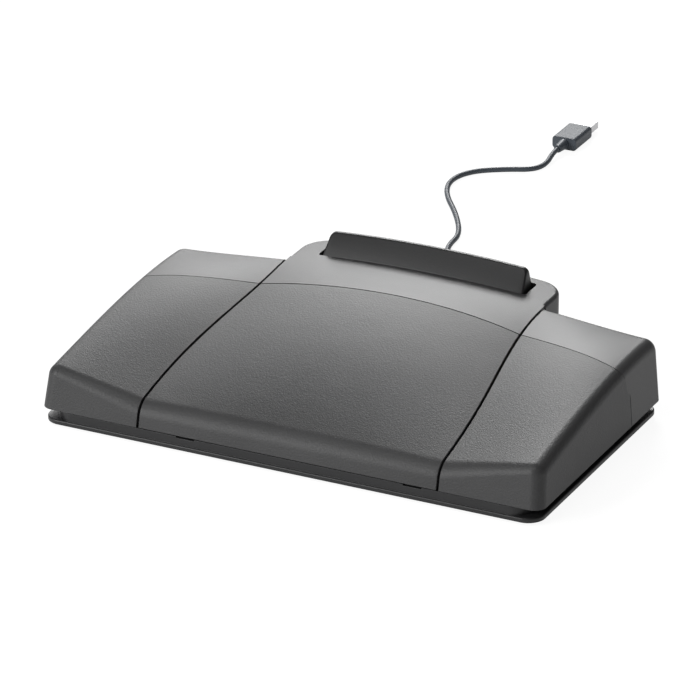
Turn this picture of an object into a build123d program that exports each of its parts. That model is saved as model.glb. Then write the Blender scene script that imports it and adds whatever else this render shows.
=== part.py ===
from build123d import *
import os
from math import cos, hypot, pi, radians, sin, sqrt, tan

# Foot control with three pedals and a fourth tilting bar, in millimetres.
# X points to the right, Y away from the user and Z up. The origin is on the floor,
# under the centre of the object.

# Driving sizes of the whole object
overall_width = 300.0
overall_depth = 194.0
foot_width = 297.0
wing_depth = 163.0
rest_pad_thickness = 1.6
tray_floor_thickness = 2.6
skirt_height = 9.3
tab_skirt_height = 10.5
wall = 2.3
seam_gap = 1.4
joint_gap = 0.5
slip_gap = 0.3
cut_overrun = 20.0

# Places that follow from the driving sizes
rim_front_y = -overall_depth / 2
rim_rear_y = rim_front_y + wing_depth
tab_foot_y = overall_depth / 2
floor_z = rest_pad_thickness + tray_floor_thickness

# Pedal tops: heights along the front line, the rear line and the bulge between
front_face_y = -96.0
top_front_y = -93.0
top_rear_y = 64.5
wing_rear_y = 66.0
front_lean_share = 0.215
front_rounding = 6.6
slope_step = 0.2
rear_lean_share = 0.035
crown_half_width = 79.0
centre_front_height = 22.2
centre_rear_height = 53.4
centre_rear_fall = 3.36
centre_bulge = 7.4
centre_bulge_fall = 3.43
tab_height = 54.0
tab_height_fall = 3.8
tab_top_y = 90.0
tab_beyond_y = 104.0
centre_section_x = 95.0

wing_section_x = [72.0, 96.0, 122.0, 152.0]
wing_front_heights = [18.8, 23.3, 28.2, 33.8]
wing_rear_heights = [50.5, 48.5, 46.2, 45.6]
wing_bulges = [3.1, 4.85, 6.1, 2.0]
wing_skew_shares = [0.81, 0.97, 0.89, 0.70]
wing_rear_roundings = [4.0, 5.0, 6.5, 8.0]
top_point_shares = [0.22, 0.42, 0.62, 0.8]
wing_side_top_x = 147.3
wing_side_top_z = 46.0
wing_edge_radius = 7.0

# Seams between the pedals, seen from above
seam_front_x = 89.8
seam_rear_x = 79.0
seam_y_shares = [0.2, 0.45, 0.66, 0.86]
seam_swing_shares = [0.97, 0.66, 0.25, 0.0]
tab_side_x = 78.9
tab_side_start_y = 66.3
tab_rear_y = 96.0
tab_corner_radius = 15.0
tab_edge_radius = 2.4

# Joint line between the front and the rear panel of each pedal
joint_middle_y = 38.3
joint_radius = 460.0
joint_bend_x = 143.0
joint_side_x = 148.6
joint_side_y = 23.5
joint_end_y = 24.5
flange_depth = 7.0

# Hinge line at the lower front edge
hinge_y = -90.0
hinge_z = 8.5

# Tray, rest pad and plinth
tray_corner_radius = 10.0
tray_edge_radius = 0.8
tab_foot_half_width = 80.0
pad_inset = 4.0
plinth_half_width = 141.0
plinth_wall = 2.2
plinth_front_y = -95.9
plinth_rear_y = 57.0
plinth_top_z = 13.0
band_top_z = 9.0
band_rear_y = -90.0
band_notch_x = [-60.5, 75.0]
band_notch_width = 11.0
band_notch_depth = 0.8
tab_plinth_half_width = 71.0
tab_plinth_rear_y = 88.5
gland_wall_top_z = 17.0

# Hinge pins, knuckles and ears
wing_hinge_x = [103.0, 128.0]
centre_hinge_x = [-66.0, 66.0]
hinge_disc_radius = 3.0
ear_width = 6.0
knuckle_width = 4.0
pin_radius = 1.5
pin_press = 0.02
pin_clearance = 0.06
ear_arm_points = [(-94.5, 10.6), (-93.9, 15.0), (-88.5, 17.0), (-87.0, 8.5), (-92.6, 8.5)]

# Return springs, their posts and the shoulder screws that stop the pedals
spring_y = -8.0
wing_spring_x = 115.0
centre_spring_x = 36.0
post_radius = 5.5
post_top_z = 20.0
post_bore_radius = 2.2
post_counterbore_radius = 3.4
post_shoulder_z = 8.0
pad_hole_radius = 4.2
boss_low_z = 30.0
stop_head_radius = 3.0
stop_head_low_z = 5.5
stop_head_top_z = 7.85
stop_shank_radius = 1.4
stop_shank_top_z = 38.0
screw_fit = 0.05
spring_radius = 4.0
spring_wire_radius = 0.5
spring_turns = 4

# Magnets and sensors
wing_sensor_x = 113.0
sensor_y = 12.0
magnet_radius = 3.0
magnet_height = 3.0
magnet_low_z = 14.5
magnet_post_radius = 4.0
sensor_length = 4.0
sensor_width = 3.0
sensor_height = 1.2

# Travel bumpers and the ribs that land on them
wing_bumper_x = [100.0, 135.0]
wing_bumper_y = 61.5
centre_bumper_x = 50.0
centre_bumper_y = 91.3
bumper_radius = 2.2
wing_bumper_height = 1.0
centre_bumper_height = 1.4
rib_width = 8.0
rib_length = 4.5
rib_overlap = 0.8
rib_rise = 6.6

# Screws that join the front and rear panels
panel_screw_places = [(98.0, 41.2), (128.0, 41.2)]
centre_screw_places = [(-40.0, 45.1), (0.0, 46.4), (40.0, 45.1)]
panel_head_radius = 2.2
panel_head_height = 1.6
panel_shank_radius = 1.2
panel_shank_spare = 1.5
panel_pad_radius = 3.2
panel_pad_gap = 0.05

# Ballast plate and circuit board
ballast_half_width = 105.0
ballast_front_y = -76.0
ballast_rear_y = -22.0
ballast_thickness = 2.5
ballast_screw_x = 95.0
ballast_screw_y = [-66.0, -32.0]
ballast_boss_radius = 3.0
ballast_boss_height = 2.3
ballast_head_radius = 4.2
ballast_head_height = 1.8
ballast_shank_radius = 1.3
ballast_shank_length = 3.6
board_low_z = 7.4
board_thickness = 1.6
board_half_width = 124.0
board_front_y = 2.0
board_bend_y = 24.0
board_rear_y = 79.0
board_leg_left_x = -22.0
board_leg_right_x = 12.0
board_screw_places = [(-90.0, 13.0), (90.0, 13.0), (-16.5, 60.0), (6.5, 60.0)]
board_boss_radius = 3.0
board_head_radius = 2.0
board_head_height = 1.5
board_shank_radius = 1.0
board_shank_length = 4.0
chip_x = -5.0
chip_y = 42.0
chip_size = 9.0
chip_height = 1.2
header_x = -12.0
header_width = 10.0
header_front_y = 72.0
header_rear_y = 78.0
header_height = 4.0

# Tilting bar at the rear, its carrier, pivot and springs
slot_half_width = 64.0
slot_front_y = 72.0
slot_rear_y = 88.5
slot_corner_radius = 2.5
bar_half_width = 61.8
bar_low_z = 48.6
bar_section_points = [(72.7, 0.9), (73.2, 0.9), (81.9, 10.7), (84.5, 10.5), (86.2, 0.9)]
bar_ridge_radius = 1.4
bar_end_points = [(61.8, 52.6), (57.6, 63.6), (57.6, 70.0), (70.0, 70.0), (70.0, 52.6)]
carrier_half_width = 60.0
carrier_front_y = 73.4
carrier_rear_y = 85.2
carrier_low_z = 46.0
stop_flange_half_width = 18.0
stop_flange_rear_y = 91.5
stop_riser_front_y = 89.0
stop_riser_top_z = 51.2
arm_half_width = 4.0
arm_rear_y = 76.9
bar_magnet_low_z = 17.0
bar_magnet_y = 75.2
pivot_y = 76.0
pivot_z = 42.0
pivot_x = 45.0
pivot_disc_radius = 3.0
pivot_pin_radius = 1.25
pivot_pin_length = 10.6
carrier_ear_width = 3.4
lug_width = 3.0
lug_points = [(60.0, 51.6), (69.8, 51.6), (70.4, 46.0), (76.0, 45.0), (76.0, 39.0), (70.0, 41.5)]
carrier_ear_points = [(73.4, 46.5), (80.0, 46.5), (78.9, 42.0), (73.2, 42.0)]
bar_spring_x = 28.0
bar_spring_y = 82.0
bar_spring_radius = 2.8
bar_wire_radius = 0.4
shelf_half_width = 34.0
shelf_front_y = 77.5
shelf_rear_y = 94.8
shelf_top_z = 35.0
shelf_thickness = 2.4
gusset_x = 20.0
gusset_points = [(94.8, 32.8), (84.0, 32.8), (94.8, 24.0)]

# Cable gland, cord, coil and plug
gland_x = -12.0
gland_z = 11.0
gland_flange_radius = 5.0
gland_flange_length = 3.0
gland_neck_radius = 3.0
gland_boot_radius = 4.2
gland_tip_radius = 2.4
gland_end_y = 108.0
gland_notch_width = 16.0
gland_notch_top_z = 22.0
cord_radius = 1.6
cord_bend_share = 0.45
cord_lead_points = [(-12.0, 108.0, 11.0), (-12.0, 118.0, 11.0), (-12.0, 134.0, 2.4), (-12.0, 144.0, 2.4)]
coil_x = -35.6125
coil_y = 144.0
coil_low_z = 2.4
coil_outer_radius = 24.55
coil_step = 3.75
coil_loops_per_layer = 3
coil_layers = 4
coil_start_turns = 0.25
coil_end_turns = 11.25
coil_spot_shares = [0, 0.1, 0.2, 0.3, 0.4, 0.5, 0.6, 0.7, 0.8, 0.9]
tie_clearance = 0.1
tie_thickness = 0.7
tie_width = 5.0
cord_run_points = [
    (-13.875, 144.0, 13.65),
    (-13.875, 166.0, 13.65),
    (-18.0, 188.0, 1.6),
    (-46.0, 203.0, 1.6),
    (-53.5, 222.0, 1.6),
    (-54.0, 240.0, 1.6),
    (-69.0, 267.0, 1.6),
    (-88.5, 293.0, 1.6),
    (-95.5, 314.0, 1.6),
    (-90.0, 332.0, 1.6),
    (-72.0, 344.5, 1.6),
    (-57.0, 351.0, 1.6),
    (-53.5, 363.0, 1.6),
    (-55.0, 375.0, 4.0),
    (-55.0, 382.0, 4.0),
]
plug_x = -55.0
plug_z = 4.0
plug_start_y = 382.0
relief_length = 10.0
relief_start_radius = 2.4
relief_end_radius = 3.4
plug_body_width = 16.0
plug_body_height = 8.0
plug_body_length = 24.0
plug_corner_radius = 2.2
plug_shell_width = 12.0
plug_shell_height = 4.5
plug_shell_length = 14.0
plug_shell_wall = 0.3
plug_insert_width = 11.0
plug_insert_height = 1.8
plug_insert_inset = 0.6

os.makedirs("parts", exist_ok=True)


def top_height(y, front, rear, bulge, skew):
    """Height of a pedal's top at y, from its front and rear heights and its bulge."""
    share = (y - top_front_y) / (top_rear_y - top_front_y)
    return front + (rear - front) * share + 4 * bulge * share * (1 - share) * (1 + skew * (share - 0.5))


def side_profile(x, front, rear, bulge, skew, rounding, inset, tab_end=None):
    """Closed side profile of a pedal at x: front wall, rounded crest, top, rear wall."""
    low_z = skirt_height if inset == 0 else 0

    def front_y(z):
        return front_face_y + inset * hypot(1, front_lean_share) + front_lean_share * (z - skirt_height)

    def rear_y(z):
        return wing_rear_y - inset - rear_lean_share * (z - skirt_height)

    def top(y):
        return top_height(y, front, rear, bulge, skew) - inset

    def slope(y):
        return (top(y + slope_step) - top(y - slope_step)) / (2 * slope_step)

    crest_y = top_front_y + front_rounding + inset
    crest = Vector(crest_y, top(crest_y))
    corner_z = (crest.Y - slope(crest_y) * (crest_y - front_y(0))) / (1 - slope(crest_y) * front_lean_share)
    corner = Vector(front_y(corner_z), corner_z)
    front_up = Vector(front_lean_share, 1).normalized()
    below = corner - front_up * (crest - corner).length
    foot = Vector(front_y(low_z), low_z)
    span = top_rear_y - top_front_y
    point_places = [top_front_y + span * share for share in top_point_shares]
    points = [Vector(y, top(y)) for y in point_places]
    with BuildSketch(Plane.YZ.offset(x)) as profile:
        with BuildLine():
            Line(foot, below)
            TangentArc(below, crest, tangent=front_up)
            if tab_end is None:
                edge_y = rear_y(rear) - rounding
                edge = Vector(edge_y, top(edge_y))
                edge_way = Vector(1, slope(edge_y)).normalized()
                behind_z = edge.Y + slope(edge_y) * (rear_y(edge.Y) - edge_y)
                behind = Vector(rear_y(behind_z), behind_z)
                rear_down = Vector(rear_lean_share, -1).normalized()
                side = behind + rear_down * (behind - edge).length
                heel = Vector(rear_y(low_z), low_z)
                Spline([crest, *points, edge], tangents=[(1, slope(crest_y)), (1, slope(edge_y))])
                TangentArc(edge, side, tangent=edge_way)
                Line(side, heel)
                Line(heel, foot)
            else:
                shelf = [(top_rear_y, top(top_rear_y)), (tab_top_y, tab_end - inset)]
                far = (tab_beyond_y, tab_end - inset)
                Spline([crest, *points, *shelf, far], tangents=[(1, slope(crest_y)), (1, 0)])
                Line((tab_beyond_y, tab_end - inset), (tab_beyond_y, low_z))
                Line((tab_beyond_y, low_z), foot)
        make_face()
    return profile.sketch


def wing_profiles(inset):
    """The side profiles of a right-hand wing, from the seam outwards."""
    heights = zip(wing_section_x, wing_front_heights, wing_rear_heights, wing_bulges, wing_skew_shares)
    rows = [(*row, rounding) for row, rounding in zip(heights, wing_rear_roundings)]
    return [side_profile(*row, inset) for row in rows]


def centre_profiles(inset):
    """The side profiles of the centre pedal, with the tab behind it, from left to right."""
    profiles = []
    for x in (-centre_section_x, 0, centre_section_x):
        crown = (x / crown_half_width) ** 2
        rear = centre_rear_height - centre_rear_fall * crown
        bulge = centre_bulge - centre_bulge_fall * crown
        tab_end = tab_height - tab_height_fall * crown
        profiles.append(side_profile(x, centre_front_height, rear, bulge, 0, 0, inset, tab_end))
    return profiles


def seam_curve(shift):
    """The right-hand seam seen from above, moved outwards by shift, from front to rear."""
    length = tab_side_start_y - front_face_y
    swing = seam_front_x - seam_rear_x
    front = (seam_front_x + shift, front_face_y)
    rear = (seam_rear_x + shift, tab_side_start_y)
    places = zip(seam_y_shares, seam_swing_shares)
    points = [(seam_rear_x + swing * part + shift, front_face_y + length * share) for share, part in places]
    Line((front[0], front[1] - cut_overrun), front)
    Spline([front, *points, rear], tangents=[(0, 1), (0, 1)])


def wing_plan(inset):
    """Outline of the right-hand wing seen from above, open to the right."""
    shift = seam_gap / 2 + inset
    far_x = overall_width / 2 + cut_overrun
    with BuildSketch() as plan:
        with BuildLine():
            seam_curve(shift)
            Polyline(
                (seam_rear_x + shift, tab_side_start_y),
                (seam_rear_x + shift, tab_foot_y + cut_overrun),
                (far_x, tab_foot_y + cut_overrun),
                (far_x, front_face_y - cut_overrun),
                (seam_front_x + shift, front_face_y - cut_overrun),
            )
        make_face()
    return plan.sketch


def centre_plan(seam_inset, tab_inset):
    """Outline of the centre pedal seen from above, with the tab behind it."""
    shift = -seam_gap / 2 - seam_inset
    side_x = tab_side_x - tab_inset
    rear_y = tab_rear_y - tab_inset
    with BuildSketch() as plan:
        with BuildLine() as outline:
            seam_curve(shift)
            Polyline(
                (seam_rear_x + shift, tab_side_start_y),
                (side_x, tab_side_start_y),
                (side_x, rear_y - tab_corner_radius + tab_inset),
            )
            RadiusArc(
                (side_x, rear_y - tab_corner_radius + tab_inset),
                (side_x - tab_corner_radius + tab_inset, rear_y),
                -tab_corner_radius + tab_inset,
            )
            Line((side_x - tab_corner_radius + tab_inset, rear_y), (0, rear_y))
            Line((0, front_face_y - cut_overrun), (seam_front_x + shift, front_face_y - cut_overrun))
            mirror(about=Plane.YZ)
        make_face()
    return plan.sketch


def joint_height(x):
    """Place along Y of the joint line between front and rear panels at x."""
    return joint_middle_y - joint_radius + sqrt(joint_radius**2 - x**2)


def panel_plan(is_front, inset):
    """Everything in front of the joint line, or everything behind it."""
    shift = -(joint_gap / 2 + inset) if is_front else joint_gap / 2 + inset
    far_x = overall_width / 2 + cut_overrun
    far_y = front_face_y - cut_overrun if is_front else tab_foot_y + cut_overrun
    bend = (joint_bend_x, joint_height(joint_bend_x) + shift)
    lean = joint_bend_x / sqrt(joint_radius**2 - joint_bend_x**2)
    corner = (joint_side_x, bend[1] - lean * (joint_side_x - joint_bend_x))
    with BuildSketch() as plan:
        with BuildLine():
            ThreePointArc((-bend[0], bend[1]), (0, joint_middle_y + shift), bend)
            Bezier(bend, corner, (joint_side_x, joint_side_y + shift))
            Polyline(
                (joint_side_x, joint_side_y + shift),
                (far_x, joint_end_y + shift),
                (far_x, far_y),
                (0, far_y),
            )
            Bezier((-bend[0], bend[1]), (-corner[0], corner[1]), (-joint_side_x, joint_side_y + shift))
            Polyline(
                (-joint_side_x, joint_side_y + shift),
                (-far_x, joint_end_y + shift),
                (-far_x, far_y),
                (0, far_y),
            )
        make_face()
    return plan.sketch


def side_plane(inset):
    """The leaning side of the right-hand wing."""
    lean = (overall_width / 2 - wing_side_top_x) / (wing_side_top_z - skirt_height)
    origin = (overall_width / 2 - inset * sqrt(1 + lean**2), 0, skirt_height)
    return Plane(origin=origin, x_dir=(0, 1, 0), z_dir=(1, 0, lean))


def wing_form(inset, edge_radius):
    """Solid form of the right-hand wing, cut at its leaning side with a rounded edge."""
    with BuildPart() as form:
        loft(wing_profiles(inset))
        split(bisect_by=side_plane(inset), keep=Keep.BOTTOM)
        side = form.faces().sort_by(Axis.X)[-1]
        low_z = side.bounding_box().min.Z
        edges = side.edges().filter_by(lambda edge: edge.center().Z > low_z + slip_gap)
        fillet(edges, radius=edge_radius)
    return form.part


def plan_overlap(first, second):
    """The part of a pedal's outline that lies on one side of the joint line."""
    with BuildSketch() as overlap:
        add(first)
        add(second, mode=Mode.INTERSECT)
    return overlap.sketch


def panel(outer, cavity, plan, cavity_plan, deep_plan):
    """Hollow panel of a pedal: walls all round, with short flanges at seam and joint."""
    with BuildPart() as room:
        add(cavity)
        extrude(cavity_plan, amount=overall_width, both=True, mode=Mode.INTERSECT)
    with BuildPart() as deep_room:
        with Locations((0, 0, -flange_depth)):
            add(cavity)
        extrude(deep_plan, amount=overall_width, both=True, mode=Mode.INTERSECT)
    with BuildPart() as shell:
        add(outer)
        extrude(plan, amount=overall_width, both=True, mode=Mode.INTERSECT)
        add(room.part, mode=Mode.SUBTRACT)
        add(deep_room.part, mode=Mode.SUBTRACT)
    return shell.part


# Forms of the pedals, and the hollow inside them
wing_outer = wing_form(0, wing_edge_radius)
wing_cavity = wing_form(wall, wing_edge_radius - wall)

with BuildPart() as rounded_tab:
    loft(centre_profiles(0))
    with BuildSketch():
        with Locations((0, tab_rear_y / 2)):
            tab_outline = Rectangle(2 * tab_side_x, tab_rear_y)
        fillet(tab_outline.vertices().group_by(Axis.Y)[-1], radius=tab_corner_radius)
    extrude(amount=overall_width, both=True, mode=Mode.INTERSECT)
    high = rounded_tab.edges().filter_by(lambda edge: edge.bounding_box().min.Z > crown_half_width / 2)
    rim = high.filter_by(lambda edge: edge.bounding_box().max.Y > tab_top_y - tab_corner_radius)
    fillet(rim, radius=tab_edge_radius)
    with Locations((0, tab_side_start_y, 0)):
        Box(
            overall_width, overall_width, overall_width,
            align=(Align.CENTER, Align.MAX, Align.CENTER), mode=Mode.SUBTRACT,
        )
        Box(
            overall_width, overall_width, tab_skirt_height,
            align=(Align.CENTER, Align.MIN, Align.MIN), mode=Mode.SUBTRACT,
        )

with BuildPart() as centre_outer:
    loft(centre_profiles(0))
    extrude(centre_plan(0, 0), amount=overall_width, both=True, mode=Mode.INTERSECT)
    with Locations((0, tab_side_start_y, 0)):
        Box(
            overall_width, overall_width, overall_width,
            align=(Align.CENTER, Align.MIN, Align.CENTER), mode=Mode.SUBTRACT,
        )
    add(rounded_tab.part)

with BuildPart() as centre_cavity:
    loft(centre_profiles(wall))

front_plan = panel_plan(True, 0)
front_cavity_plan = panel_plan(True, wall)
rear_plan = panel_plan(False, 0)
rear_cavity_plan = panel_plan(False, wall)


def inside_posts(radius, places, low_z, cavity):
    """Round posts at the places, from low_z up into the middle of the top wall."""
    with BuildPart() as posts:
        with Locations(*[(x, y, low_z) for x, y in places]):
            Cylinder(radius, overall_width / 4, align=(Align.CENTER, Align.CENTER, Align.MIN))
        with BuildPart(mode=Mode.PRIVATE) as room:
            with Locations((0, 0, wall / 2)):
                add(cavity)
        add(room.part, mode=Mode.INTERSECT)
    return posts.part


def upright(radius, places, low_z, high_z):
    """Upright round solids at the places, between two heights."""
    with BuildPart() as solids:
        with Locations(*[(x, y, low_z) for x, y in places]):
            Cylinder(radius, high_z - low_z, align=(Align.CENTER, Align.CENTER, Align.MIN))
    return solids.part


def block(low, high):
    """A box between two opposite corners."""
    size = [far - near for near, far in zip(low, high)]
    with BuildPart() as box:
        with Locations(low):
            Box(*size, align=(Align.MIN, Align.MIN, Align.MIN))
    return box.part


def hinge_pieces(places, width, radius, hole_radius, arm):
    """Pieces round the hinge pins, each centred at a place along X and with its arm."""
    with BuildPart() as pieces:
        with BuildSketch(*[Plane.YZ.offset(x - width / 2) for x in places]):
            with Locations((hinge_y, hinge_z)):
                Circle(radius)
            Polygon(*arm, align=None)
            with Locations((hinge_y, hinge_z)):
                Circle(hole_radius, mode=Mode.SUBTRACT)
        extrude(amount=width)
    return pieces.part


def hinge_pins(places):
    """Hinge pins, each held in two knuckles."""
    length = ear_width + 2 * slip_gap + 2 * knuckle_width
    with BuildPart() as pins:
        with Locations(*[Location((x, hinge_y, hinge_z), (0, 90, 0)) for x in places]):
            Cylinder(pin_radius, length)
    return pins.part


def joint_frame(x, z):
    """Place on the joint line at x and height z, facing backwards along the line's normal."""
    way = (x / joint_radius, sqrt(joint_radius**2 - x**2) / joint_radius, 0)
    return Plane(origin=(x, joint_height(x), z), x_dir=(0, 0, 1), z_dir=way)


def joint_screws(places):
    """Screws through the flanges of the front and rear panels."""
    under_head = joint_gap / 2 + wall
    low = -under_head - panel_shank_spare
    with BuildPart() as screws:
        for x, z in places:
            with BuildSketch(joint_frame(x, z).offset(under_head)):
                Circle(panel_head_radius)
            extrude(amount=panel_head_height)
            with BuildSketch(joint_frame(x, z).offset(low)):
                Circle(panel_shank_radius)
            extrude(amount=under_head - low)
    return screws.part


def joint_holes(places):
    """Room for the shanks of the panel screws."""
    with BuildPart() as holes:
        for x, z in places:
            with BuildSketch(joint_frame(x, z)):
                Circle(panel_shank_radius + screw_fit)
            extrude(amount=2 * wall, both=True)
    return holes.part


def joint_pads(places):
    """Spacing pads in the joint line, on the rear panel."""
    with BuildPart() as pads:
        for x, z in places:
            with BuildSketch(joint_frame(x, z).offset(panel_pad_gap - joint_gap / 2)):
                Circle(panel_pad_radius)
            extrude(amount=joint_gap + wall / 2)
    return pads.part


def coil_spring(radius, wire_radius, height):
    """A compression spring that stands on the floor plane, with a six-sided wire."""
    rise = height - 2 * wire_radius
    with BuildPart() as spring:
        with BuildLine() as centre_line:
            Helix(pitch=rise / spring_turns, height=rise, radius=radius, center=(0, 0, wire_radius))
        with BuildSketch(Plane(origin=centre_line.line @ 0, z_dir=centre_line.line % 0)):
            RegularPolygon(wire_radius, 6)
        sweep(is_frenet=True)
    return spring.part


def front_panel(outer, cavity, plan, cavity_plan, deep_plan, posts, magnets, ears, screws):
    """A front panel with its spring bosses, magnet post, hinge ears and screw holes."""
    with BuildPart() as shell:
        add(panel(outer, cavity, plan, cavity_plan, deep_plan))
        add(inside_posts(post_radius, posts, boss_low_z, cavity))
        add(inside_posts(magnet_post_radius, magnets, magnet_low_z + magnet_height, cavity))
        add(hinge_pieces(ears, ear_width, hinge_disc_radius, pin_radius + pin_clearance, ear_arm_points))
        add(upright(stop_shank_radius + screw_fit, posts, boss_low_z, stop_shank_top_z), mode=Mode.SUBTRACT)
        add(joint_holes(screws), mode=Mode.SUBTRACT)
    return shell.part


def rear_panel(outer, cavity, plan, cavity_plan, deep_plan, ribs, screws):
    """A rear panel with the ribs over its bumpers, and pads and holes at the joint line."""
    with BuildPart() as shell:
        add(panel(outer, cavity, plan, cavity_plan, deep_plan))
        for low, high in ribs:
            add(block(low, high))
        add(joint_pads(screws))
        add(joint_holes(screws), mode=Mode.SUBTRACT)
    return shell.part


def stop_screws(places):
    """Shoulder screws that hold the springs and stop the pedals from rising."""
    with BuildPart() as screws:
        add(upright(stop_head_radius, places, stop_head_low_z, stop_head_top_z))
        add(upright(stop_shank_radius, places, stop_head_top_z, stop_shank_top_z))
    return screws.part


# Right wing: front panel, rear panel, and the pieces that move with them
wing_posts = [(wing_spring_x, spring_y)]
wing_magnets = [(wing_sensor_x, sensor_y)]
centre_posts = [(-centre_spring_x, spring_y), (centre_spring_x, spring_y)]
centre_magnets = [(0, sensor_y)]
rib_front_y = wing_rear_y - wall + rib_overlap - rib_length
wing_ribs = []
for x in wing_bumper_x:
    low = (x - rib_width / 2, rib_front_y, skirt_height)
    wing_ribs.append((low, (x + rib_width / 2, rib_front_y + rib_length, skirt_height + rib_rise)))

right_front = front_panel(
    wing_outer, wing_cavity, plan_overlap(wing_plan(0), front_plan),
    plan_overlap(wing_plan(wall), front_cavity_plan), wing_plan(0),
    wing_posts, wing_magnets, wing_hinge_x, panel_screw_places,
)
right_rear = rear_panel(
    wing_outer, wing_cavity, plan_overlap(wing_plan(0), rear_plan),
    plan_overlap(wing_plan(wall), rear_cavity_plan), wing_plan(0), wing_ribs, panel_screw_places,
)
wing_screws = joint_screws(panel_screw_places)
wing_stop_screws = stop_screws(wing_posts)
wing_magnet = upright(magnet_radius, wing_magnets, magnet_low_z, magnet_low_z + magnet_height)
wing_pins = hinge_pins(wing_hinge_x)
return_spring = coil_spring(spring_radius, spring_wire_radius, boss_low_z - post_top_z)
with BuildPart() as wing_spring:
    with Locations((wing_spring_x, spring_y, post_top_z)):
        add(return_spring)

wing_pieces = {
    "front_panel": right_front,
    "rear_panel": right_rear,
    "panel_screws": wing_screws,
    "stop_screw": wing_stop_screws,
    "magnet": wing_magnet,
    "hinge_pins": wing_pins,
    "return_spring": wing_spring.part,
}
for name, solid in wing_pieces.items():
    solid.label = f"right_{name}"
    export_step(solid, f"parts/right_{name}.step")
    with BuildPart() as mirrored:
        mirror(solid, about=Plane.YZ)
    mirrored.part.label = f"left_{name}"
    export_step(mirrored.part, f"parts/left_{name}.step")

# Centre pedal: front panel with two spring bosses
centre_front = front_panel(
    centre_outer.part, centre_cavity.part, plan_overlap(centre_plan(0, 0), front_plan),
    plan_overlap(centre_plan(wall, wall), front_cavity_plan), centre_plan(0, wall),
    centre_posts, centre_magnets, centre_hinge_x, centre_screw_places,
)
centre_front.label = "centre_front_panel"
export_step(centre_front, "parts/centre_front_panel.step")

# Centre pedal: rear panel with the tab, the slot for the bar, its lugs and the spring shelf
tab_rib_y = tab_rear_y - wall + rib_overlap - rib_length
centre_ribs = []
for x in (-centre_bumper_x, centre_bumper_x):
    low = (x - rib_width / 2, tab_rib_y, tab_skirt_height)
    centre_ribs.append((low, (x + rib_width / 2, tab_rib_y + rib_length, tab_skirt_height + rib_rise)))
lug_x = []
for side in (-1, 1):
    for way in (-1, 1):
        lug_x.append(side * pivot_x + way * (carrier_ear_width / 2 + slip_gap + lug_width / 2))

with BuildPart() as centre_rear:
    add(rear_panel(
        centre_outer.part, centre_cavity.part, plan_overlap(centre_plan(0, 0), rear_plan),
        plan_overlap(centre_plan(wall, wall), rear_cavity_plan), centre_plan(0, wall),
        centre_ribs, centre_screw_places,
    ))
    with BuildSketch(Plane.XY.offset(pivot_z)):
        with Locations((0, (slot_front_y + slot_rear_y) / 2)):
            RectangleRounded(2 * slot_half_width, slot_rear_y - slot_front_y, slot_corner_radius)
    extrude(amount=cut_overrun, mode=Mode.SUBTRACT)
    with BuildSketch(*[Plane.YZ.offset(x - lug_width / 2) for x in lug_x]):
        Polygon(*lug_points, align=None)
        with Locations((pivot_y, pivot_z)):
            Circle(pivot_disc_radius)
        with Locations((pivot_y, pivot_z)):
            Circle(pivot_pin_radius + pin_press, mode=Mode.SUBTRACT)
    extrude(amount=lug_width)
    add(block(
        (-shelf_half_width, shelf_front_y, shelf_top_z - shelf_thickness),
        (shelf_half_width, shelf_rear_y, shelf_top_z),
    ))
    with BuildSketch(*[Plane.YZ.offset(x - shelf_thickness / 2) for x in (-gusset_x, gusset_x)]):
        Polygon(*gusset_points, align=None)
    extrude(amount=shelf_thickness)
    add(block(
        (gland_x - gland_notch_width / 2, tab_plinth_rear_y, tab_skirt_height - wall),
        (gland_x + gland_notch_width / 2, tab_foot_y, gland_notch_top_z),
    ), mode=Mode.SUBTRACT)
centre_rear.part.label = "centre_rear_panel"
export_step(centre_rear.part, "parts/centre_rear_panel.step")
centre_panel_screws = joint_screws(centre_screw_places)
centre_panel_screws.label = "centre_panel_screws"
export_step(centre_panel_screws, "parts/centre_panel_screws.step")
centre_stop_screws = stop_screws(centre_posts)
centre_stop_screws.label = "centre_stop_screws"
export_step(centre_stop_screws, "parts/centre_stop_screws.step")
centre_magnet = upright(magnet_radius, centre_magnets, magnet_low_z, magnet_low_z + magnet_height)
centre_magnet.label = "centre_magnet"
export_step(centre_magnet, "parts/centre_magnet.step")
centre_hinge_pins = hinge_pins(centre_hinge_x)
centre_hinge_pins.label = "centre_hinge_pins"
export_step(centre_hinge_pins, "parts/centre_hinge_pins.step")
with BuildPart() as centre_return_springs:
    with Locations(*[(x, y, post_top_z) for x, y in centre_posts]):
        add(return_spring)
centre_return_springs.part.label = "centre_return_springs"
export_step(centre_return_springs.part, "parts/centre_return_springs.step")

# Tilting bar: soft cap, carrier, magnet, pivot pins and springs
with BuildPart() as bar_cap:
    for x in (-bar_half_width, 0, bar_half_width):
        surface_z = tab_height - tab_height_fall * (x / crown_half_width) ** 2
        points = [(y, surface_z + rise) for y, rise in bar_section_points]
        with BuildSketch(Plane.YZ.offset(x)):
            Polygon((points[0][0], bar_low_z), *points, (points[-1][0], bar_low_z), align=None)
    loft()
    ridge = bar_cap.edges().filter_by(lambda edge: edge.bounding_box().max.Z > bar_end_points[1][1])
    fillet(ridge.filter_by(lambda edge: edge.length > bar_half_width), radius=bar_ridge_radius)
    with BuildSketch(Plane.XZ.offset(-tab_foot_y)):
        Polygon(*bar_end_points, align=None)
        Polygon(*[(-x, z) for x, z in bar_end_points], align=None)
    extrude(amount=tab_foot_y, mode=Mode.SUBTRACT)
bar_cap.part.label = "bar_cap"
export_step(bar_cap.part, "parts/bar_cap.step")

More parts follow.
